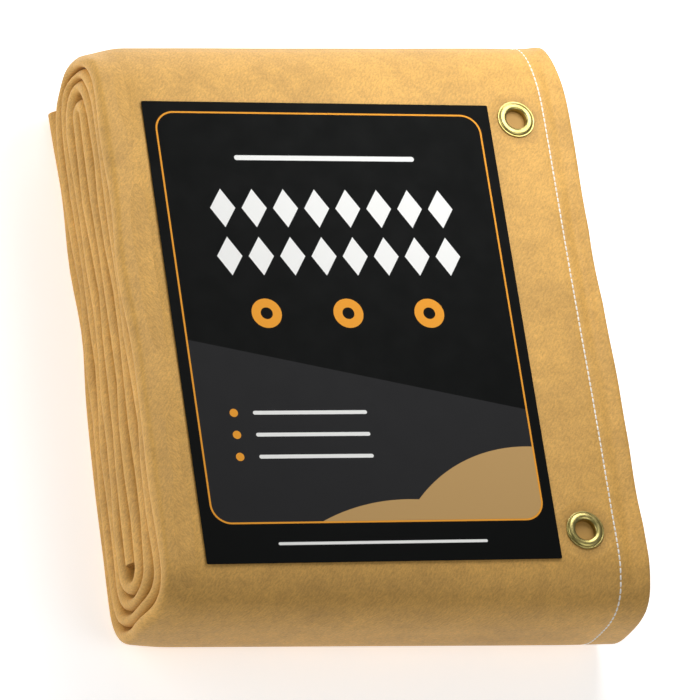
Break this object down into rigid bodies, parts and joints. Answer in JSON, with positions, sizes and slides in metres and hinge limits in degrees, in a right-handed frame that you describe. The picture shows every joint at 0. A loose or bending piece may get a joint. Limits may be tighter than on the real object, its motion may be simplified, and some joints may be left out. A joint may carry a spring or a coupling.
{
  "type": "folded canvas tarp",
  "caption": "Tan canvas tarp folded into a flat pad with rounded ends, brass eyelets in its hemmed side and a dark label on the front.",
  "frame": {"origin": "centre of the resting face of the pad, on the surface it lies on", "axes": "+Z out of the front with the label, +Y towards the top fold, +X towards the hemmed side with the eyelets"},
  "size_m": [0.305, 0.386, 0.0938],
  "materials": {
    "canvas": "matt waxed cotton canvas with a fine nap, tan",
    "brass": "polished, lightly aged",
    "label": "black printed card with a soft sheen"
  },
  "bodies": {
    "root": {"canvas": "canvas", "hem_strip": "canvas", "eyelet_upper": "brass", "eyelet_lower": "brass", "front_label": "label"}
  },
  "joints": []
}
